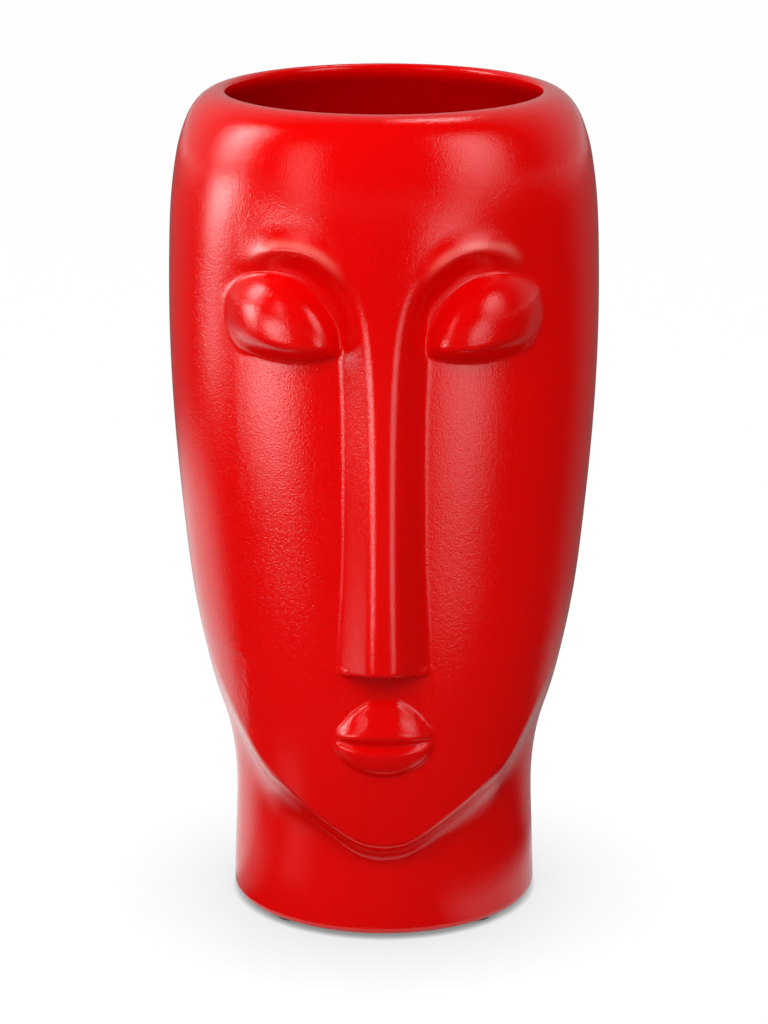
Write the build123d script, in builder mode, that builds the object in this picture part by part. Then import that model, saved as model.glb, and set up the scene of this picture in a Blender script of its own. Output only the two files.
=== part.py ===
from build123d import *
import math
import os

# Face vase: one slip-cast ceramic shell that stands on four rubber pads.
# Millimetres, +Z up, the face looks along -Y. The origin lies on the table,
# under the middle of the vase's box, because the nose reaches further from the axis than the back does.

# Heights above the table
vase_height = 300.0
head_bottom = 34.0
waist_height = 44.0
neck_bend_height = 60.0
throat_height = 79.0
flare_height = 96.0
chin_height = 38.5
jaw_height = 96.0
mouth_height = 82.0
nose_height = 110.0

# Drops below the rim
shoulder_drop = 11.0
crown_bend_drop = 24.0
crown_drop = 42.0
brow_drop = 37.0
brow_end_drop = 41.0
brow_fall_drop = 57.0
eye_drop = 73.0
lid_drop = 84.0
ridge_drop = 100.0

# Foot, neck and jaw
foot_radius = 56.0
foot_round = 2.5
foot_recess_radius = 40.0
foot_recess_depth = 2.5
waist_radius = 54.8
neck_bend_radius = 56.0
throat_radius = 60.8
flare_radius = 64.4
chin_side = 16.0
chin_side_rise = 4.5
jaw_side = 45.0
jaw_side_rise = 20.5
jaw_end = 66.0

# Head, on even levels from its bottom to the rim: half widths from side to side
chin_half_width = 46.5
mouth_half_width = 60.0
nose_half_span = 70.1
cheek_half_width = 74.8
eye_half_span = 77.0
brow_half_width = 76.3
top_half_width = 71.5

# Head, on the same levels: reaches from the axis to the front of the cheeks
chin_reach = 65.5
mouth_reach = 71.2
nose_foot_reach = 70.3
cheek_reach = 68.3
eye_reach = 67.5
brow_reach = 70.5
top_reach = 72.5

# Rounded top of the head, as radii
crown_radius = 76.7
crown_bend_radius = 74.2
shoulder_radius = 70.5
rim_radius = 61.0

# Brow and nose: one raised ridge that runs from the forehead down to the nose tip
ridge_half_width = 68.0
nose_reach = 87.5
lower_bridge_reach = 81.5
upper_bridge_reach = 78.0
glabella_reach = 76.3
forehead_reach = 70.0
brow_end = 48.0
brow_peak = 32.0
brow_fall = 13.5
crest_half_width = 4.6
nose_half_width = 6.2
brow_fall_lean = 32.0
ridge_wall_angle = 36.0
ridge_depth = 22.0

# Eyes and lips, as swelling ovals
eye_side = 36.5
eye_half_width = 26.5
eye_half_height = 20.5
eye_sink = 12.0
lip_half_length = 19.0
upper_lip_half_height = 10.5
lower_lip_half_height = 9.5
upper_lip_rise = 6.0
lower_lip_fall = 4.5
lip_sink = 5.0

# Hollow
wall = 6.5
floor_thickness = 7.0
mouth_radius = 56.0
mouth_round = 2.5
chin_thickness = 15.0

# Rubber pads
pad_radius = 6.0
pad_thickness = 1.4
pad_round = 0.4
pad_start_angle = 45.0

# Places that follow from the sizes above
axis_y = (nose_reach - eye_half_span) / 2
axis_line = Axis((0, axis_y, 0), (0, 0, 1))
front_view = Plane(origin=(0, axis_y, 0), x_dir=(1, 0, 0), z_dir=(0, -1, 0))
brow_height = vase_height - brow_drop
shoulder_height = vase_height - shoulder_drop
crest_length = brow_height - nose_height
bore_radius = waist_radius - wall
cavity_floor = pad_thickness + foot_recess_depth + floor_thickness
clear_of_vase = 2 * nose_reach


def oval(height, half_width, reach):
    """Level section: a half circle behind the axis and a half ellipse in front of it."""
    with BuildSketch(Plane((0, axis_y, height))) as section:
        with BuildLine():
            CenterArc((0, 0), half_width, 0, 180)
            EllipticalCenterArc((0, 0), half_width, reach, start_angle=180, arc_size=180)
        make_face()
    return section.sketch


def even_levels(bottom, top, spans):
    """Level sections, evenly spaced between two heights."""
    step = (top - bottom) / (len(spans) - 1)
    return [oval(bottom + number * step, *span) for number, span in enumerate(spans)]


# The forehead flows down into the nose: a swelling block, cut to the outline of brows and nose,
# whose walls lean outwards from the crest to the cheeks.
def ridge_outline(plane, spread):
    """Outline of brows and nose on a plane along the nose, measured up from the nose tip."""
    fall_lean = math.radians(brow_fall_lean)
    fall_side = brow_fall + spread * math.cos(fall_lean)
    fall_up = crest_length + brow_drop - brow_fall_drop - spread * math.sin(fall_lean)
    with BuildSketch(plane) as outline:
        with BuildLine():
            brow = Spline(
                (brow_end, crest_length + brow_drop - brow_end_drop - spread),
                (brow_peak, crest_length - spread),
                (fall_side, fall_up),
                (crest_half_width + spread, crest_length + brow_drop - ridge_drop),
                tangents=[(-1, 1), (0, -1)],
            )
            nose_side = Line(brow @ 1, (nose_half_width + spread, mouth_height - nose_height))
            Line(nose_side @ 1, (0, mouth_height - nose_height))
            outline_top = shoulder_height - nose_height
            Polyline((0, outline_top), (brow_end, outline_top), brow @ 0)
            mirror(about=Plane.YZ)
        make_face()
    return outline.sketch


with BuildPart() as ridge:
    reaches = [nose_reach, lower_bridge_reach, upper_bridge_reach, glabella_reach, forehead_reach]
    loft(even_levels(nose_height, shoulder_height, [(ridge_half_width, reach) for reach in reaches]))
    crest_lean = math.atan2(nose_reach - glabella_reach, brow_height - nose_height)
    crest_plane = Plane(
        origin=(0, axis_y - nose_reach, nose_height),
        x_dir=(1, 0, 0),
        z_dir=(0, -math.cos(crest_lean), math.sin(crest_lean)),
    )
    loft(
        [
            ridge_outline(crest_plane, 0),
            ridge_outline(
                crest_plane.offset(-ridge_depth), ridge_depth * math.tan(math.radians(ridge_wall_angle))
            ),
        ],
        ruled=True,
        mode=Mode.INTERSECT,
    )

with BuildPart() as eyes:
    eye_depth = eye_reach * math.sqrt(1 - (eye_side / eye_half_span) ** 2)
    eye_turn = math.atan2(eye_side * eye_reach**2, eye_depth * eye_half_span**2)
    eye_across = Vector(math.cos(eye_turn), math.sin(eye_turn), 0)
    eye_out = Vector(math.sin(eye_turn), -math.cos(eye_turn), 0)
    eye_middle = Vector(eye_side, axis_y - eye_depth, vase_height - eye_drop) - eye_out * eye_sink
    with BuildSketch(Plane(origin=eye_middle, x_dir=eye_across, z_dir=eye_out)):
        with BuildLine():
            EllipticalCenterArc((0, 0), eye_half_width, eye_half_height, start_angle=0, arc_size=180)
            Line((-eye_half_width, 0), (eye_half_width, 0))
        make_face()
    revolve(axis=Axis(eye_middle, eye_across))
    split(bisect_by=Plane.XY.offset(vase_height - lid_drop), keep=Keep.TOP)
    mirror(about=Plane.YZ)

with BuildPart() as lips:
    lip_rows = [(upper_lip_rise, upper_lip_half_height), (-lower_lip_fall, lower_lip_half_height)]
    for rise, half_height in lip_rows:
        lip_middle = Vector(0, axis_y - mouth_reach + lip_sink, mouth_height + rise)
        with BuildSketch(Plane(origin=lip_middle, x_dir=(1, 0, 0), z_dir=(0, -1, 0))):
            with BuildLine():
                EllipticalCenterArc((0, 0), lip_half_length, half_height, start_angle=0, arc_size=180)
                Line((-lip_half_length, 0), (lip_half_length, 0))
            make_face()
        revolve(axis=Axis(lip_middle, (1, 0, 0)))

head_spans = [
    (chin_half_width, chin_reach),
    (mouth_half_width, mouth_reach),
    (nose_half_span, nose_foot_reach),
    (cheek_half_width, cheek_reach),
    (eye_half_span, eye_reach),
    (brow_half_width, brow_reach),
    (top_half_width, top_reach),
]

# The hollow follows the outside at the thickness of the wall, with a plain round bore in the neck.
with BuildPart() as hollow:
    inner_spans = [(half_width - wall, reach - wall) for half_width, reach in head_spans]
    inner_spans[0] = (bore_radius, bore_radius)
    inner_spans[1] = (mouth_half_width - wall, mouth_reach - chin_thickness)
    inner_spans[-1] = (mouth_radius, mouth_radius)
    loft(even_levels(head_bottom, vase_height, inner_spans))
    with BuildSketch(front_view):
        with BuildLine():
            bore = Polyline((0, head_bottom), (0, cavity_floor), (bore_radius, cavity_floor))
            Polyline(bore @ 1, (bore_radius, head_bottom), bore @ 0)
        make_face()
        with BuildLine():
            mouth_edge = RadiusArc(
                (mouth_radius, vase_height - mouth_round),
                (mouth_radius + mouth_round, vase_height),
                mouth_round,
            )
            Polyline(
                mouth_edge @ 1,
                (mouth_radius + mouth_round, vase_height + mouth_round),
                (0, vase_height + mouth_round),
                (0, vase_height - mouth_round),
                mouth_edge @ 0,
            )
        make_face()
    revolve(axis=axis_line)

with BuildPart() as vase_body:
    loft(even_levels(head_bottom, vase_height, head_spans))
    # The top is turned in to the rim, all round.
    with BuildSketch(front_view):
        with BuildLine():
            crown = Spline(
                (crown_radius, vase_height - crown_drop),
                (crown_bend_radius, vase_height - crown_bend_drop),
                (shoulder_radius, shoulder_height),
                (rim_radius, vase_height),
            )
            Polyline(
                crown @ 1,
                (clear_of_vase, vase_height),
                (clear_of_vase, vase_height - crown_drop),
                crown @ 0,
            )
        make_face()
    revolve(axis=axis_line, mode=Mode.SUBTRACT)
    # The jaw is cut square under the face, so that the chin hangs in front of the neck.
    with BuildSketch(front_view):
        with BuildLine():
            jaw = Spline(
                (0, chin_height),
                (chin_side, chin_height + chin_side_rise),
                (jaw_side, chin_height + jaw_side_rise),
                (jaw_end, jaw_height),
                tangents=[(1, 0), (1, 2)],
            )
            Polyline(jaw @ 1, (jaw_end, 0), (0, 0))
            mirror(about=Plane.YZ)
        make_face()
    extrude(amount=clear_of_vase, mode=Mode.SUBTRACT)
    # The neck stands on a plain foot ring and flares out into the back of the head.
    with BuildSketch(front_view):
        with BuildLine():
            foot = Polyline(
                (0, pad_thickness + foot_recess_depth),
                (foot_recess_radius, pad_thickness + foot_recess_depth),
                (foot_recess_radius, pad_thickness),
                (foot_radius - foot_round, pad_thickness),
            )
            foot_edge = RadiusArc(foot @ 1, (foot_radius, pad_thickness + foot_round), -foot_round)
            neck = Spline(
                foot_edge @ 1,
                (waist_radius, waist_height),
                (neck_bend_radius, neck_bend_height),
                (throat_radius, throat_height),
                (flare_radius, flare_height),
            )
            Polyline(neck @ 1, (0, flare_height), foot @ 0)
        make_face()
    revolve(axis=axis_line)
    add(ridge.part)
    add(eyes.part)
    add(lips.part)
    add(hollow.part, mode=Mode.SUBTRACT)

os.makedirs("parts", exist_ok=True)
vase_body.part.label = "vase_body"
export_step(vase_body.part, "parts/vase_body.step")

# Each pad sits in the middle of the flat of the foot ring.
pad_circle = (foot_recess_radius + foot_radius - foot_round) / 2
pad_names = ["foot_pad_rear_right", "foot_pad_rear_left", "foot_pad_front_left", "foot_pad_front_right"]
for number, pad_name in enumerate(pad_names):
    pad_angle = math.radians(pad_start_angle + number * 360 / len(pad_names))
    pad_middle = (pad_circle * math.cos(pad_angle), axis_y + pad_circle * math.sin(pad_angle), 0)
    with BuildPart() as pad:
        with BuildSketch(Plane(pad_middle)):
            Circle(pad_radius)
        extrude(amount=pad_thickness)
        fillet(pad.edges().group_by(Axis.Z)[0], pad_round)
    pad.part.label = pad_name
    export_step(pad.part, "parts/" + pad_name + ".step")
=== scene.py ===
import math

import bmesh
import bpy
import numpy as np
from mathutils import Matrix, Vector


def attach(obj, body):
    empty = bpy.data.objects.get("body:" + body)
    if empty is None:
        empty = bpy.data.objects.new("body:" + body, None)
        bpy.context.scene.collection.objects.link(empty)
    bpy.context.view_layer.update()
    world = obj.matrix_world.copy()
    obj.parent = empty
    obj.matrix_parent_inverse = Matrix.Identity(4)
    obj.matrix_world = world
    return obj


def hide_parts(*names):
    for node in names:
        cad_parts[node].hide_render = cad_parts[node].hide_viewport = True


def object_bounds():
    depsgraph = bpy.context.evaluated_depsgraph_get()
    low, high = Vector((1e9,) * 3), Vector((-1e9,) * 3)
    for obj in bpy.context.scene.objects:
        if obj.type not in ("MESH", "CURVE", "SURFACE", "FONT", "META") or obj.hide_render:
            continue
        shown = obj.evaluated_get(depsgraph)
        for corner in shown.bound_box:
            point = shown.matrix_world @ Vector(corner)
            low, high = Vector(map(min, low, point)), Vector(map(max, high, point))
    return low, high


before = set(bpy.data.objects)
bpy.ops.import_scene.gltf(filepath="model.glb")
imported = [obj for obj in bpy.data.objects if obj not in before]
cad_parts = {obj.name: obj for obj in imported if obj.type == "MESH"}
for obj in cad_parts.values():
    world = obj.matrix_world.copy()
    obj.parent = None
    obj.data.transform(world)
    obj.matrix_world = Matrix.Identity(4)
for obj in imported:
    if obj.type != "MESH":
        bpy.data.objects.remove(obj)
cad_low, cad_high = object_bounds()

# The vase is one slip-cast ceramic shell, hollow from the wide mouth down to the floor of the neck.
# The plaster mould gives it the face on the front and a plain round back, neck and foot;
# after firing it is glazed red inside and out, except for the ring it stands on.
mm = 0.001
widest_half = 77.0
axis_y = cad_high.y / mm - widest_half
foot_bottom = 1.4
foot_round = 2.5
foot_flat_radius = 53.5
recess_radius = 40.0
recess_height = 3.9
recess_edge = 0.7
floor_height = 10.9
floor_radius = 42.0
floor_corner = 8.0
bore_radius = 48.3
foot_row = 4.0
corner_row = 19.0
jaw_row = 58.0
cheek_row = 135.0
inner_crown_row = 240.0
crown_row = 262.0
rim_row = 307.5
blank_outer = 90.0
blank_inner = 60.0
columns = 280
front_crowding = 0.62

# The mesh starts as a plain turned blank: radius, height and the cuts in the stretch that leads there.
blank_outline = [
    (0.0, recess_height, 0),
    (recess_radius - 1.0, recess_height, 3),
    (recess_radius, recess_height - 1.0, 0),
    (recess_radius, foot_bottom + recess_edge, 0),
    (recess_radius + recess_edge, foot_bottom, 0),
    (foot_flat_radius - 1.0, foot_bottom, 2),
    (blank_outer, 0.0, 0),
    (blank_outer, foot_row, 4),
    (blank_outer, 44.0, 18),
    (blank_outer, jaw_row, 22),
    (blank_outer, 64.0, 11),
    (blank_outer, 82.0, 22),
    (blank_outer, 104.0, 32),
    (blank_outer, 118.0, 26),
    (blank_outer, 205.0, 46),
    (blank_outer, crown_row, 78),
    (blank_outer, 276.0, 11),
    (blank_outer, rim_row, 24),
    (blank_inner, rim_row, 0),
    (blank_inner, 294.0, 9),
    (blank_inner, 60.0, 15),
    (blank_inner, floor_height, 8),
    (0.0, floor_height, 4),
]
blank = bmesh.new()
corners = [blank.verts.new((0, radius, height)) for radius, height, cuts in blank_outline]
for first, second in zip(corners, corners[1:]):
    blank.edges.new((first, second))
bmesh.ops.spin(
    blank,
    geom=blank.verts[:] + blank.edges[:],
    cent=(0, 0, 0),
    axis=(0, 0, 1),
    angle=math.tau,
    steps=columns,
    use_merge=True,
)
bmesh.ops.remove_doubles(blank, verts=blank.verts[:], dist=0.0001)
for (first_radius, first_height, _), (radius, height, cuts) in zip(blank_outline, blank_outline[1:]):
    ends = {(round(first_radius, 2), round(first_height, 2)), (round(radius, 2), round(height, 2))}
    stretch = [
        edge
        for edge in blank.edges
        if {(round(v.co.xy.length, 2), round(v.co.z, 2)) for v in edge.verts} == ends
    ]
    if cuts:
        bmesh.ops.subdivide_edges(blank, edges=stretch, cuts=cuts, use_grid_fill=True)
bmesh.ops.recalc_face_normals(blank, faces=blank.faces[:])
vase_mesh = bpy.data.meshes.new("vase")
blank.to_mesh(vase_mesh)
blank.free()


def through(*stations):
    """Smooth curve through stations, as a function of the first number of each."""
    place, value = (np.array(column, float) for column in zip(*stations))
    gap = np.diff(place)
    slope = np.diff(value) / gap
    count = len(place)
    matrix = np.eye(count)
    bend = np.zeros(count)
    for i in range(1, count - 1):
        matrix[i, i - 1 : i + 2] = gap[i - 1], 2 * (gap[i - 1] + gap[i]), gap[i]
        bend[i] = 6 * (slope[i] - slope[i - 1])
    bend = np.linalg.solve(matrix, bend)

    def curve(at):
        at = np.clip(at, place[0], place[-1])
        i = np.clip(np.searchsorted(place, at) - 1, 0, count - 2)
        after, before = at - place[i], place[i + 1] - at
        bent = (bend[i] * before**3 + bend[i + 1] * after**3) / (6 * gap[i])
        low = value[i] / gap[i] - bend[i] * gap[i] / 6
        high = value[i + 1] / gap[i] - bend[i + 1] * gap[i] / 6
        return bent + low * before + high * after

    return curve


def ease(value, start, end):
    """Soft step from 0 at start to 1 at end."""
    share = np.clip((value - start) / (end - start), 0, 1)
    return share * share * (3 - 2 * share)


def upper(first, second, fillet):
    """The higher of two surfaces, with a fillet where they meet."""
    return np.maximum(first, second) + np.clip(fillet - abs(first - second), 0, None) ** 2 / (4 * fillet)


def lower(first, second, fillet):
    """The lower of two surfaces, with a rounded edge where they meet."""
    return -upper(-first, -second, fillet)


# The roll of the rim: row, half width, half depth and height.
rim_roll = [
    (276.0, 73.9, 75.0, 275.9),
    (281.1, 72.9, 74.9, 280.9),
    (285.8, 71.6, 74.3, 285.4),
    (289.9, 70.2, 73.4, 289.3),
    (294.5, 68.1, 71.8, 293.4),
    (298.4, 65.6, 69.7, 296.5),
    (302.1, 62.6, 66.9, 298.7),
    (305.1, 59.9, 64.4, 299.7),
    (307.5, 57.6, 62.2, 300.0),
]
rim_sides = [(row, across) for row, across, deep, height in rim_roll]
rim_depths = [(row, deep) for row, across, deep, height in rim_roll]
rim_heights = [(row, height) for row, across, deep, height in rim_roll]

# The outside: row, and the half width, or the reach to the back or the front.
neck_sides = [
    (4, 56.0), (20, 55.5), (36, 54.9), (50, 55.0), (60, 56.1),
    (70, 58.0), (80, 61.0), (92, 64.3), (105, 67.2),
]
upper_sides = [
    (122, 70.1), (144, 72.6), (171, 75.0), (198, 76.55), (222, 77.0), (245, 76.6), (262, 75.7),
]
side_of = through(*neck_sides, *upper_sides, *rim_sides)
back_of = through(*neck_sides, *upper_sides, *rim_depths)
face_side_of = through(
    (10, 49.0), (22, 53.0), (34, 56.0), (48, 58.6), (62, 60.6), (78, 62.5), (92, 64.6), (105, 67.2),
    *upper_sides, *rim_sides,
)
front_of = through(
    (10, 61.0), (22, 63.5), (34, 65.3), (48, 67.8), (62, 69.8), (84, 71.5), (110, 71.0),
    (150, 69.0), (200, 67.6), (225, 67.9), (240, 69.6), (252, 71.8), (262, 73.5), (270, 74.6),
    *rim_depths,
)
height_of = through((240, 240), (251, 251), (262, 262), *rim_heights)

# The hollow: row, and its radius or height.
inside_of = through(
    (17, 48.3), (40, 47.8), (60, 49.6), (80, 54.0), (100, 59.0), (122, 63.4), (167, 68.2), (211, 70.5),
    (255, 69.8), (275, 66.3), (285, 63.2), (294, 58.6), (298.5, 56.4), (302.5, 56.0), (305.5, 56.5),
    (307.5, 57.3),
)
inside_height_of = through(
    (240, 240), (255, 255), (275, 275), (285, 284.6), (294, 292.2), (298.5, 296.0), (302.5, 298.6),
    (305.5, 299.6), (307.5, 299.95),
)

# The lower edge of the jaw: degrees round from the front, and height.
jaw_level_of = through(
    (0, 38.5), (8, 39.8), (15.6, 44.0), (22.5, 48.8), (30, 54.0), (38, 59.6), (45.5, 64.6), (51, 70.4),
    (55.7, 76.2), (61, 83.0), (66, 89.0), (74, 95.4), (83, 99.2), (90, 100.8), (105, 101.5), (180, 101.5),
)

# The edge of brow and nose in front view: distance from the middle line, and height.
brow_line = np.array([
    (5.6, 98.0), (5.4, 110.0), (5.0, 132.0), (4.8, 160.0), (4.9, 188.0), (5.3, 205.0), (6.4, 221.0),
    (8.9, 234.2), (12.9, 243.2), (18.4, 250.0), (24.6, 254.2), (31.0, 255.5), (37.2, 254.8),
    (43.0, 251.6), (48.0, 246.0), (52.0, 238.5),
])
brow_steps = np.arange(len(brow_line))
fine_steps = np.linspace(0, len(brow_line) - 1, 240)
brow_curve = np.stack([through(*zip(brow_steps, column))(fine_steps) for column in brow_line.T], axis=1)


def from_brow(side, height):
    """Distance outwards from the edge of brow and nose, below zero on the forehead and the ridge."""
    nearest = np.full(side.shape, np.inf)
    signed = np.zeros(side.shape)
    for start, end in zip(brow_curve[:-1], brow_curve[1:]):
        run = end - start
        along = np.clip(((side - start[0]) * run[0] + (height - start[1]) * run[1]) / (run @ run), 0, 1)
        across, up = side - start[0] - along * run[0], height - start[1] - along * run[1]
        distance = np.hypot(across, up)
        closer = distance < nearest
        nearest = np.where(closer, distance, nearest)
        signed = np.where(closer, np.sign(run[1] * across - run[0] * up) * distance, signed)
    return signed


eye_hollow_depth = 4.2


def eye_hollow(side, height):
    """Depth of the hollow under the brow, round the upper side of the eye."""
    return eye_hollow_depth * ease(height, 212, 236) * ease(side, 58, 45) * ease(height, 264, 252)


# How far brow and nose stand out from the face: height, and lift.
lift_of = through(
    (95, 17.0), (112, 16.0), (150, 13.2), (200, 10.4), (230, 8.6), (240, 7.5), (252, 5.7), (262, 4.0),
    (270, 2.7), (278, 1.5), (287, 0.4), (294, 0), (308, 0),
)
lift_half_width = 50.0
flare_rise = 2.8
flare_width = 9.0
bevel_width = 2.7
bevel_slope = 0.42
bevel_edge = 1.2
wall_width = 9.5
wall_edge = 1.4
wall_fillet = 0.7
nose_base = 105.3
nose_base_slope = 3.6
nose_base_edge = 2.0


def brow_and_nose(side, height, out):
    """Ridge from the forehead between the eyes to the nose, with a bevelled edge and leaning walls."""
    lift = np.clip(lift_of(height), 0, None) * np.clip(1 - (side / lift_half_width) ** 2, 0, 1)
    flare = flare_rise * np.clip(1 + out / flare_width, 0, 1) ** 2.2
    flare = flare * ease(height, 232, 250) * ease(side, 52, 34) * ease(side, 8, 22)
    floor = -eye_hollow(side, height)
    bevel = np.minimum(bevel_slope * ease(height, 256, 242), 0.3 * (lift - floor) / bevel_width)
    wall_slope = (lift - floor - bevel * bevel_width) / (wall_width + ease(height, 150, 112))
    fall = bevel * upper(out + bevel_width, 0.0, bevel_edge)
    fall = fall + (wall_slope - bevel) * upper(out, 0.0, wall_edge)
    ridge = upper(lift + flare - fall, floor, wall_fillet)
    under_nose = nose_base_slope * (height - nose_base)
    return np.where(ridge > 0, lower(ridge, under_nose, nose_base_edge), ridge)


eye_side = 33.5
eye_height = 226.0
eye_inner_half = 18.6
eye_outer_half = 21.0
eye_half_height = 20.4
eye_lean = 0.25
eye_rise = 12.6
eye_sink = 4.2
eye_floor = -20.0
lid_corner = 215.0
lid_middle = 33.0
lid_bend = 0.0095
lid_edge = 4.5


def eye(side, height):
    """Closed eye: a full leaning ball with a soft outer end, cut back below by the lower lid."""
    up = height - eye_height
    across = side - eye_side - eye_lean * up
    half_width = np.where(across > 0, eye_outer_half, eye_inner_half)
    share = (across / half_width) ** 2 + (up / eye_half_height) ** 2
    outside = (20 - 12 * ease(side, 40, 50)) * np.clip(share - 1, 0, 1)
    ball = (eye_rise + eye_sink) * np.clip(1 - share**1.3, 0, 1) ** 0.6 - eye_sink - outside
    lid_line = lid_corner + lid_bend * (side - lid_middle) ** 2
    lid_slope = 2.1 - 0.5 * ease(side, 26, 48)
    lid = lid_slope * (height - lid_line)
    return np.clip(lower(ball, lid, lid_edge), eye_floor, None)


lip_half_width = 17.0
lip_part_height = 81.0
lip_top_height = 94.8
lip_peak_side = 4.6
lip_peak_spread = 3.2
upper_lip_rise = 6.8
upper_lip_fall = 10.4
lower_lip_rise = 6.4
lower_lip_half_width = 17.8
lower_lip_half_height = 12.8
lip_mound_rise = 3.4
lip_fillet = 0.8


def lips(side, height):
    """Full lips: a peaked upper lip that stands over a wider, rolled lower one."""
    part = lip_part_height + 1.2 * (side / lip_half_width) ** 2
    peak = np.exp(-(((side - lip_peak_side) / lip_peak_spread) ** 2))
    top = lip_top_height + peak - upper_lip_fall * (side / 16.4) ** 2.4
    share = np.clip((height - part) / np.clip(top - part, 0.5, None), -1, 2)
    fullness = upper_lip_rise * np.clip(1 - (side / lip_half_width) ** 2.4, 0, 1) ** 0.45
    upper_lip = fullness * ease(share, -0.2, 0.24) * (1 - 0.66 * ease(share, 0.2, 1.0))
    upper_lip = upper_lip * ease(share, 1.06, 0.97)
    up = height - lip_part_height
    reach = 1 - (side / lower_lip_half_width) ** 2 - (up / lower_lip_half_height) ** 2
    reach = np.clip(reach, 0, 1) ** 0.5
    lower_lip = lower_lip_rise * reach * ease(height, part + 0.9, part - 3.0)
    mound = lip_mound_rise * reach * ease(share, 0.6, 0.0)
    return np.maximum(upper(upper_lip, lower_lip, lip_fillet), mound)


nostril_side = 12.6
nostril_height = 107.0
nostril_half_width = 3.2
nostril_half_height = 2.6
nostril_rise = 4.4


def nostril(side, height):
    """Small soft wing at the foot of the nose."""
    across = (side - nostril_side) / nostril_half_width
    up = (height - nostril_height) / nostril_half_height
    return nostril_rise * np.clip(1 - (across**2 + up**2), 0, 1)


spots = np.zeros(len(vase_mesh.vertices) * 3)
vase_mesh.vertices.foreach_get("co", spots)
blank_x, blank_y, row = spots.reshape(-1, 3).T
blank_radius = np.hypot(blank_x, blank_y)
turn = np.arctan2(blank_x, -blank_y)
turn = turn - front_crowding * np.sin(turn)
sine, cosine = np.sin(turn), np.cos(turn)
is_front = cosine > 0
is_outer = blank_radius > blank_outer - 1
is_inner = (blank_radius > blank_inner - 1) & ~is_outer
is_floor = (blank_radius < blank_inner - 1) & (row > floor_height - 0.5)

# Outside, the rows near the jaw follow its edge round the face, and below it the wall runs back to the neck.
jaw_level = jaw_level_of(np.degrees(abs(turn)))
pull = np.where(row < jaw_row, ease(row, foot_row, jaw_row), ease(row, cheek_row, jaw_row))
level = row + (jaw_level - jaw_row) * pull
height = np.where(level < crown_row, level, height_of(level))
cove_rows = 13.0 + 11.0 * ease(abs(sine), 0.3, 0.75)
jaw_edge = 0.22
below_jaw = np.clip(upper((jaw_row - row) / cove_rows, 0.0, jaw_edge), 0, 1)
face_share = np.where(is_front, (1 - below_jaw) ** 2, 0)
neck_radius = side_of(level)
neck_depth = back_of(level)
out_x = sine * (neck_radius + face_share * (face_side_of(level) - neck_radius))
squareness = 2 + 0.12 * ease(level, 150, 80) * ease(cosine, 0, 0.3)
face_cosine = np.clip(1 - abs(sine) ** squareness, 0, 1) ** (1 / squareness)
face_swell = face_share * (front_of(level) * face_cosine - neck_depth * cosine)
out_y = -neck_depth * cosine - np.where(is_front, face_swell, 0)

# The face stands out from that wall.
side = abs(out_x)
out = from_brow(side, height)
relief = brow_and_nose(side, height, out)
relief = upper(relief, eye(side, height), 0.7 + 5.0 * ease(side, 43, 51))
relief = upper(relief, nostril(side, height), 1.8)
relief = np.maximum(relief, lips(side, height))
out_y = out_y - np.where(is_front & (row >= jaw_row), relief, 0)

# The foot turns in to the ring that the vase stands on.
foot_share = np.clip(row / foot_row, 0, 1) * math.pi / 2
at_foot = row < foot_row
foot_reach = foot_flat_radius + foot_round * np.sin(foot_share)
out_x = np.where(at_foot, sine * foot_reach, out_x)
out_y = np.where(at_foot, -cosine * foot_reach, out_y)
height = np.where(at_foot, foot_bottom + foot_round * (1 - np.cos(foot_share)), height)

# Inside, the hollow follows the outside at the thickness of the wall.
hollow = inside_of(row)
hollow_back = hollow * (1 + 0.085 * ease(row, 262, 303))
hollow_front = hollow_back * (1 - 0.11 * ease(row, 120, 190) * ease(row, 290, 240))
corner_share = np.clip((row - floor_height) / floor_corner, 0, 1) * math.pi / 2
corner_radius = floor_radius + (bore_radius - floor_radius) * np.sin(corner_share)
at_corner = row < corner_row
hollow = np.where(at_corner, corner_radius, hollow)
hollow_front = np.where(at_corner, corner_radius, hollow_front)
hollow_back = np.where(at_corner, corner_radius, hollow_back)
hollow_height = np.where(row < inner_crown_row, row, inside_height_of(row))

x = np.where(is_outer, out_x, np.where(is_inner, sine * hollow, sine * blank_radius))
hollow_y = -cosine * np.where(is_front, hollow_front, hollow_back)
y = np.where(is_outer, out_y, np.where(is_inner, hollow_y, -cosine * blank_radius))
z = np.where(is_outer, height, np.where(is_inner, hollow_height, row))
x = np.where(is_floor, x * floor_radius / blank_inner, x)
y = np.where(is_floor, y * floor_radius / blank_inner, y)
vase_mesh.vertices.foreach_set("co", (np.stack([x, y + axis_y, z], axis=1) * mm).ravel())

# A light sponging above the foot, as on the raw casting, softens the edges.
shell = bmesh.new()
shell.from_mesh(vase_mesh)
sponged_from = 0.02
sponged = [vertex for vertex in shell.verts if vertex.co.z > sponged_from]
bmesh.ops.smooth_vert(
    shell, verts=sponged, factor=0.4, use_axis_x=True, use_axis_y=True, use_axis_z=True
)
for face in shell.faces:
    face.smooth = True
shell.to_mesh(vase_mesh)
shell.free()

# Where light and shade are painted into the glaze colour: a painted highlight along the lip of the brow, and
# painted shade inside, from below the rim down.
brow_lip_out = -1.6
brow_lip_width = 1.4
# A band just outside the brow edge, which carries the painted highlight.
painted_brow_highlight = np.exp(-(((out - brow_lip_out) / brow_lip_width) ** 2))
painted_brow_highlight = painted_brow_highlight * ease(height, 240, 252) * ease(side, 48, 42) * ease(side, 12, 22)
brow_highlight_paint = vase_mesh.attributes.new("brow_highlight_paint", "FLOAT", "POINT")
brow_highlight_paint.data.foreach_set("value", np.where(is_outer & is_front, painted_brow_highlight, 0))
inside_shade_paint = vase_mesh.attributes.new("inside_shade_paint", "FLOAT", "POINT")
inside_shade_paint.data.foreach_set("value", np.where(is_inner, ease(row, 304, 292), is_floor))
vase = bpy.data.objects.new("vase", vase_mesh)
bpy.context.collection.objects.link(vase)
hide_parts("vase_body")
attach(vase, "root")


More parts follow.
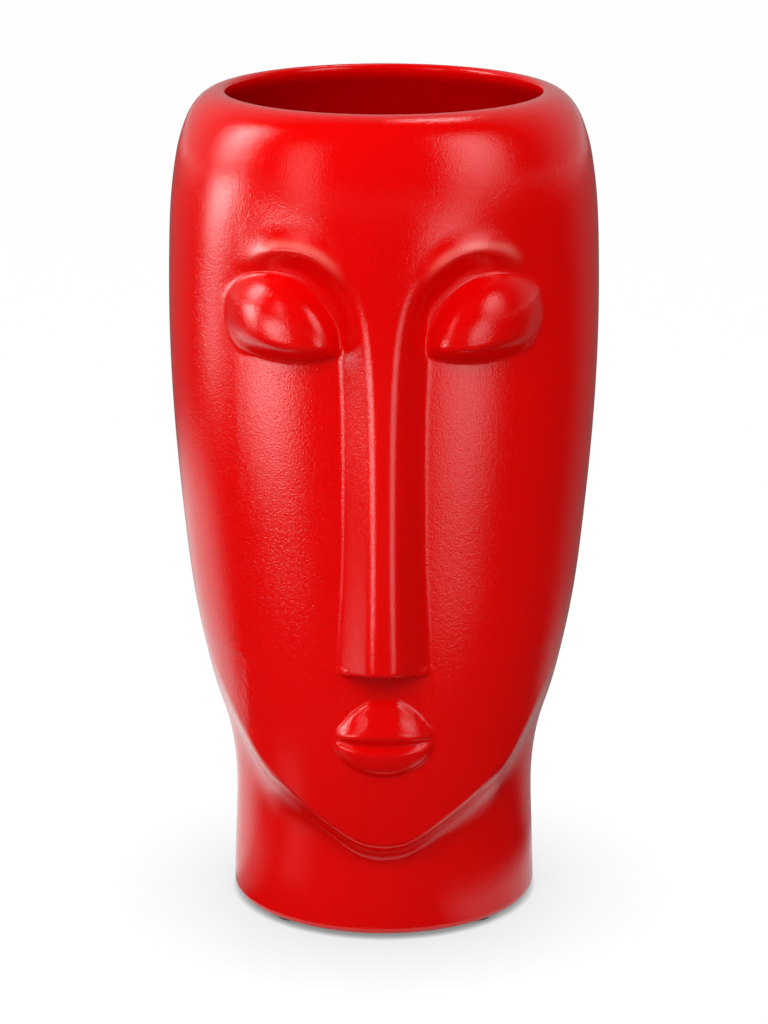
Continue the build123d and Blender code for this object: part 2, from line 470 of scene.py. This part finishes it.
class Shade:
    """A value in a finish, with arithmetic that adds the nodes for it."""

    def __init__(self, finish, socket):
        self.finish = finish
        self.socket = socket

    def maths(self, operation, first, second):
        """Value of one Math node."""
        return self.finish.add("ShaderNodeMath", {"operation": operation}, {0: first, 1: second})

    def between(self, start, end):
        """Share from 0 to 1 of the way from a start to an end."""
        reach = {"Value": self, "From Min": start, "From Max": end}
        return self.finish.add("ShaderNodeMapRange", {"clamp": True}, reach)

    def __add__(self, other):
        return self.maths("ADD", self, other)

    def __radd__(self, other):
        return self.maths("ADD", other, self)

    def __sub__(self, other):
        return self.maths("SUBTRACT", self, other)

    def __rsub__(self, other):
        return self.maths("SUBTRACT", other, self)

    def __mul__(self, other):
        return self.maths("MULTIPLY", self, other)

    def __rmul__(self, other):
        return self.maths("MULTIPLY", other, self)


class Finish:
    """The nodes of a material, a lamp or the room, built up one by one."""

    def __init__(self, tree):
        self.tree = tree
        self.tree.nodes.clear()

    def add(self, kind, settings, sockets, output=0):
        """New node of a kind, with its settings first and then its socket values or links."""
        node = self.tree.nodes.new(kind)
        for name, setting in settings.items():
            setattr(node, name, setting)
        for name, value in sockets.items():
            if isinstance(value, Shade):
                self.tree.links.new(value.socket, node.inputs[name])
            else:
                node.inputs[name].default_value = value
        return Shade(self, node.outputs[output]) if node.outputs else None

    def noise(self, place, scale, detail):
        """Cloudy pattern, with so many cells to the metre."""
        return self.add("ShaderNodeTexNoise", {}, {"Vector": place, "Scale": scale, "Detail": detail})

    def blend(self, share, first, second):
        """Colour that goes from a first one to a second one with a share."""
        sockets = {"Factor": share, 6: first, 7: second}
        return self.add("ShaderNodeMix", {"data_type": "RGBA"}, sockets, 2)


def new_material(name):
    """Empty material, and the finish that its nodes go into."""
    material = bpy.data.materials.new(name)
    material.use_nodes = True
    return material, Finish(material.node_tree)


glaze_red = (0.86, 0.001, 0.0006, 1)
glaze_deep = (0.76, 0.0, 0.0, 1)
# Darker red of the painted shade inside the hollow.
painted_shade_red = (0.5, 0.0, 0.0, 1)
# Pale pink of the painted highlight on the brow lip.
highlight_pink = (0.9, 0.22, 0.18, 1)
biscuit = (0.72, 0.63, 0.52, 1)
glaze_material, glaze = new_material("red_glaze")
place = glaze.add("ShaderNodeTexCoord", {}, {}, "Object")
pooling = glaze.noise(place, 14.0, 3.0)
colour = glaze.blend(pooling, glaze_red, glaze_deep)
# On the lip of the brow a pale pink is blended into the red: a painted highlight.
edge = glaze.add("ShaderNodeAttribute", {"attribute_name": "brow_highlight_paint"}, {}, "Fac")
colour = glaze.blend(edge * 0.5, colour, highlight_pink)
# Inside, a darker red is painted in, from below the rim down and over the floor: painted shade.
shade_inside = glaze.add("ShaderNodeAttribute", {"attribute_name": "inside_shade_paint"}, {}, "Fac")
colour = glaze.blend(shade_inside, colour, painted_shade_red)
# The glaze stops short of the ring that stands in the kiln. There the pale body shows, dull and a bit sandy.
over_table = glaze.add("ShaderNodeSeparateXYZ", {}, {"Vector": place}, "Z")
sand = glaze.noise(place, 700.0, 3.0)
edge_height = over_table + sand * 0.0006
bare = edge_height.between(0.0024, 0.0018)
colour = glaze.blend(bare, colour, biscuit)
# The fired skin has a fine peel over a slower ripple, and a few shallow pores.
peel = glaze.add(
    "ShaderNodeTexNoise", {}, {"Vector": place, "Scale": 1500.0, "Detail": 1.0, "Roughness": 0.6}
)
ripple = glaze.noise(place, 450.0, 2.0)
pores = glaze.noise(place, 900.0, 0.0).between(0.62, 0.72)
grain = peel * 1.1 + ripple * 0.7 - pores * 0.3
skin = glaze.add("ShaderNodeBump", {}, {"Strength": 0.36, "Distance": 0.00018, "Height": grain})
roughness = 0.1 + peel * 0.06 + bare * 0.6
surface = glaze.add(
    "ShaderNodeBsdfPrincipled",
    {},
    {"Base Color": colour, "Roughness": roughness, "IOR": 1.5, "Normal": skin},
)
glaze.add("ShaderNodeOutputMaterial", {}, {"Surface": surface})
vase_mesh.materials.append(glaze_material)

# Four round pads of black rubber are stuck to the unglazed foot ring, so that the vase doesn't slip
# or scratch. They are die-cut from self-adhesive sheet, with a fine moulded grain.
rubber_black = (0.016, 0.016, 0.016, 1)
rubber_dusty = (0.045, 0.043, 0.04, 1)
rubber_material, rubber = new_material("pad_rubber")
place = rubber.add("ShaderNodeTexCoord", {}, {}, "Object")
speckle = rubber.noise(place, 1500.0, 2.0)
dust = rubber.noise(place, 90.0, 3.0)
colour = rubber.blend(dust, rubber_black, rubber_dusty)
grip = rubber.add("ShaderNodeBump", {}, {"Strength": 0.3, "Distance": 0.0003, "Height": speckle})
surface = rubber.add(
    "ShaderNodeBsdfPrincipled",
    {},
    {"Base Color": colour, "Roughness": 0.75 + speckle * 0.15, "Normal": grip},
)
rubber.add("ShaderNodeOutputMaterial", {}, {"Surface": surface})
for corner in ("front_left", "front_right", "rear_left", "rear_right"):
    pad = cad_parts["foot_pad_" + corner]
    pad.data.materials.clear()
    pad.data.materials.append(rubber_material)

# The table is a smooth white sheet that runs out of sight on all sides and belongs to the stage.
# To the viewer and in the glaze it is evenly bright, apart from a painted shadow close round the vase and
# under its foot.
table_half = 8.0
no_light = (0, 0, 0, 1)
full_light = (1, 1, 1, 1)
table_mesh = bpy.data.meshes.new("table")
table_top = bmesh.new()
bmesh.ops.create_grid(table_top, x_segments=1, y_segments=1, size=table_half)
table_top.to_mesh(table_mesh)
table_top.free()
table = bpy.data.objects.new("table", table_mesh)
bpy.context.collection.objects.link(table)
table_material, white = new_material("table_white")
seen = white.add("ShaderNodeLightPath", {}, {}, "Is Camera Ray")
mirrored = white.add("ShaderNodeLightPath", {}, {}, "Is Glossy Ray")
cloth = white.add("ShaderNodeBsdfDiffuse", {}, {"Color": (0.6, 0.6, 0.6, 1)})
shaded = white.add("ShaderNodeBsdfDiffuse", {}, {"Color": (0.05, 0.05, 0.05, 1)})
# Painted shadow: the glow dims where the vase hides the open sky, and more in the thin gap under the foot.
open_sky = white.add("ShaderNodeAmbientOcclusion", {"samples": 8}, {"Distance": 0.06}, "AO")
crevice = white.add("ShaderNodeAmbientOcclusion", {"samples": 8}, {"Distance": 0.0028}, "AO")
glow_with_painted_shadow = (0.62 + open_sky * 0.35) * (0.2 + crevice * 0.8)
glow = white.blend(glow_with_painted_shadow, no_light, full_light)
lit = white.add("ShaderNodeEmission", {}, {"Color": glow, "Strength": 1.0})
bright = white.add("ShaderNodeAddShader", {}, {0: shaded, 1: lit})
table_surface = white.add("ShaderNodeMixShader", {}, {0: seen + mirrored, 1: cloth, 2: bright})
white.add("ShaderNodeOutputMaterial", {}, {"Surface": table_surface})
table_mesh.materials.append(table_material)

# A black felt lies round the vase on the stage, where only the glaze sees it, and keeps the white table
# out of the red. It is worn thin in places, so that the table still lights up the sides and the back.
felt_inner = 0.0563
felt_outer = 5.0
felt_height = 0.0004
felt_sides = 64
felt_mesh = bpy.data.meshes.new("felt")
felt_sheet = bmesh.new()
near_corner = felt_sheet.verts.new((0, -felt_inner, felt_height))
far_corner = felt_sheet.verts.new((0, -felt_outer, felt_height))
felt_edge = felt_sheet.edges.new((near_corner, far_corner))
bmesh.ops.spin(
    felt_sheet,
    geom=[near_corner, far_corner, felt_edge],
    cent=(0, 0, 0),
    axis=(0, 0, 1),
    angle=math.tau,
    steps=felt_sides,
    use_merge=True,
)
felt_sheet.to_mesh(felt_mesh)
felt_sheet.free()
felt = bpy.data.objects.new("felt", felt_mesh)
bpy.context.collection.objects.link(felt)
felt.visible_camera = False
felt.visible_diffuse = False
felt.visible_shadow = False
felt_material, black = new_material("felt_black")
place = black.add("ShaderNodeTexCoord", {}, {}, "Object")
across = black.add("ShaderNodeSeparateXYZ", {}, {"Vector": place}, "X")
deep = black.add("ShaderNodeSeparateXYZ", {}, {"Vector": place}, "Y")
# Thin places by azimuth from the viewer's side, in radians, and by distance from the middle, in metres.
azimuth = across.maths("ARCTAN2", across, 0 - deep)
away = black.add("ShaderNodeVectorMath", {"operation": "LENGTH"}, {0: place}, "Value")
left = azimuth.between(-0.8, -0.95) * azimuth.between(-1.28, -1.1)
bare_left = left * away.between(0.21, 0.17) * away.between(0.09, 0.11) * 0.25
bare_near_left = azimuth.between(-1.3, -1.6) * away.between(0.15, 0.12) * 0.35
far_left = azimuth.between(-1.65, -1.95) * azimuth.between(-3.0, -2.5)
bare_far_left = far_left * away.between(0.7, 0.5)
bare_right = azimuth.between(0.5, 0.8) * away.between(0.1, 0.075) * 0.7
rear = azimuth.maths("ABSOLUTE", azimuth, 0).between(1.9, 2.2)
bare_rear = rear * (0.28 - away.between(0.2, 0.4) * 0.16)
cover = 1 - bare_left - bare_near_left - bare_far_left - bare_right - bare_rear
gap = black.add("ShaderNodeBsdfTransparent", {}, {})
fibre = black.add("ShaderNodeBsdfDiffuse", {}, {"Color": (0.02, 0.02, 0.02, 1)})
weave = black.add("ShaderNodeMixShader", {}, {0: cover, 1: gap, 2: fibre})
black.add("ShaderNodeOutputMaterial", {}, {"Surface": weave})
felt_mesh.materials.append(felt_material)

# The room is plain white to the viewer and sheds a soft, even light on the vase and the table.
# The glaze mirrors it as dark, apart from a pale wall behind the vase.
room_light = 0.36
wall_light = 0.42
scene = bpy.context.scene
scene.world = bpy.data.worlds.new("studio")
scene.world.use_nodes = True
room = Finish(scene.world.node_tree)
seen = room.add("ShaderNodeLightPath", {}, {}, "Is Camera Ray")
mirrored = room.add("ShaderNodeLightPath", {}, {}, "Is Glossy Ray")
way = room.add("ShaderNodeTexCoord", {}, {}, "Generated")
behind = room.add("ShaderNodeSeparateXYZ", {}, {"Vector": way}, "Y")
in_glaze = mirrored * (behind.between(0.1, 0.7) * wall_light - room_light)
strength = room_light + in_glaze + seen * (1 - room_light)
backdrop = room.add("ShaderNodeBackground", {}, {"Color": full_light, "Strength": strength})
room.add("ShaderNodeOutputWorld", {}, {"Surface": backdrop})
scene.view_settings.view_transform = "Standard"


# The lamps stand round the vase, each a soft box on its own stand: a frame with a white cloth over it.
# Three of them shine through polarising sheets, and light the vase without a mirror image in the glaze.
def soft_box(name, azimuth, distance, bottom, top, width, brightness):
    """Upright lamp at an azimuth from the viewer's side, turned to the vase."""
    lamp = bpy.data.lights.new(name, "AREA")
    lamp.shape = "RECTANGLE"
    lamp.size = width
    lamp.size_y = top - bottom
    lamp.energy = brightness * math.pi * lamp.size * lamp.size_y
    stand = bpy.data.objects.new(name, lamp)
    bpy.context.collection.objects.link(stand)
    angle = math.radians(azimuth)
    stand.location = (distance * math.sin(angle), -distance * math.cos(angle), (bottom + top) / 2)
    stand.rotation_euler = (math.pi / 2, 0, angle)
    return stand


# Name, azimuth in degrees, distance, bottom, top, width and brightness of each.
for fill in (
    soft_box("front_fill", -4, 0.8, 0.5, 1.1, 0.9, 4.7),
    soft_box("left_fill", -88, 0.7, 0.25, 0.85, 0.6, 2.8),
    soft_box("right_fill", 118, 0.7, 0.25, 0.85, 0.6, 1.0),
):
    fill.visible_glossy = False
    fill.data.cycles.use_multiple_importance_sampling = False

# Strips whose light fades to their edges give the glaze its highlights and nothing else.
for strip in (
    soft_box("left_strip", -90, 0.45, 0.075, 0.45, 0.23, 9.5),
    soft_box("left_low", -56, 0.45, 0.055, 0.21, 0.34, 6.5),
    soft_box("left_high", -90, 0.45, 0.25, 0.72, 0.28, 8.5),
    soft_box("left_front", -45, 0.45, 0.12, 0.6, 0.22, 1.5),
    soft_box("right_wide", 52, 0.45, 0.16, 0.8, 0.4, 3.4),
    soft_box("right_low", 37, 0.45, 0.02, 0.26, 0.34, 2.8),
):
    strip.visible_diffuse = False
    strip.data.use_nodes = True
    beam = Finish(strip.data.node_tree)
    spot = beam.add("ShaderNodeNewGeometry", {}, {}, "Parametric")
    across = beam.add("ShaderNodeSeparateXYZ", {}, {"Vector": spot}, "X")
    up = beam.add("ShaderNodeSeparateXYZ", {}, {"Vector": spot}, "Y")
    fade = across * (1 - across) * up * (1 - up) * 16
    glow = beam.blend(fade * fade, no_light, full_light)
    light = beam.add("ShaderNodeEmission", {}, {"Color": glow, "Strength": 1.0})
    beam.add("ShaderNodeOutputLight", {}, {"Surface": light})

# A small lamp that hangs over the back of the vase lights up the roll of the rim.
rim_light = bpy.data.lights.new("rim_light", "AREA")
rim_light.size = 0.25
rim_light.energy = 5.0 * math.pi * rim_light.size**2
hanger = bpy.data.objects.new("rim_light", rim_light)
hanger.location = (0.2, 0.3, 1.1)
hanger.visible_diffuse = False
bpy.context.collection.objects.link(hanger)

# The camera stands on its tripod a little over a metre before the vase, above its rim,
# and looks down on it through a long lens.
camera_distance = 1.1512
camera_height = 0.4668
camera_dip = 15.64
camera = bpy.data.cameras.new("camera")
camera.sensor_width = 36.0
camera.lens = 114.97
tripod = bpy.data.objects.new("camera", camera)
tripod.location = (0, axis_y * mm - camera_distance, camera_height)
tripod.rotation_euler = (math.radians(90 - camera_dip), 0, 0)
bpy.context.collection.objects.link(tripod)
scene.camera = tripod

bpy.context.view_layer.update()
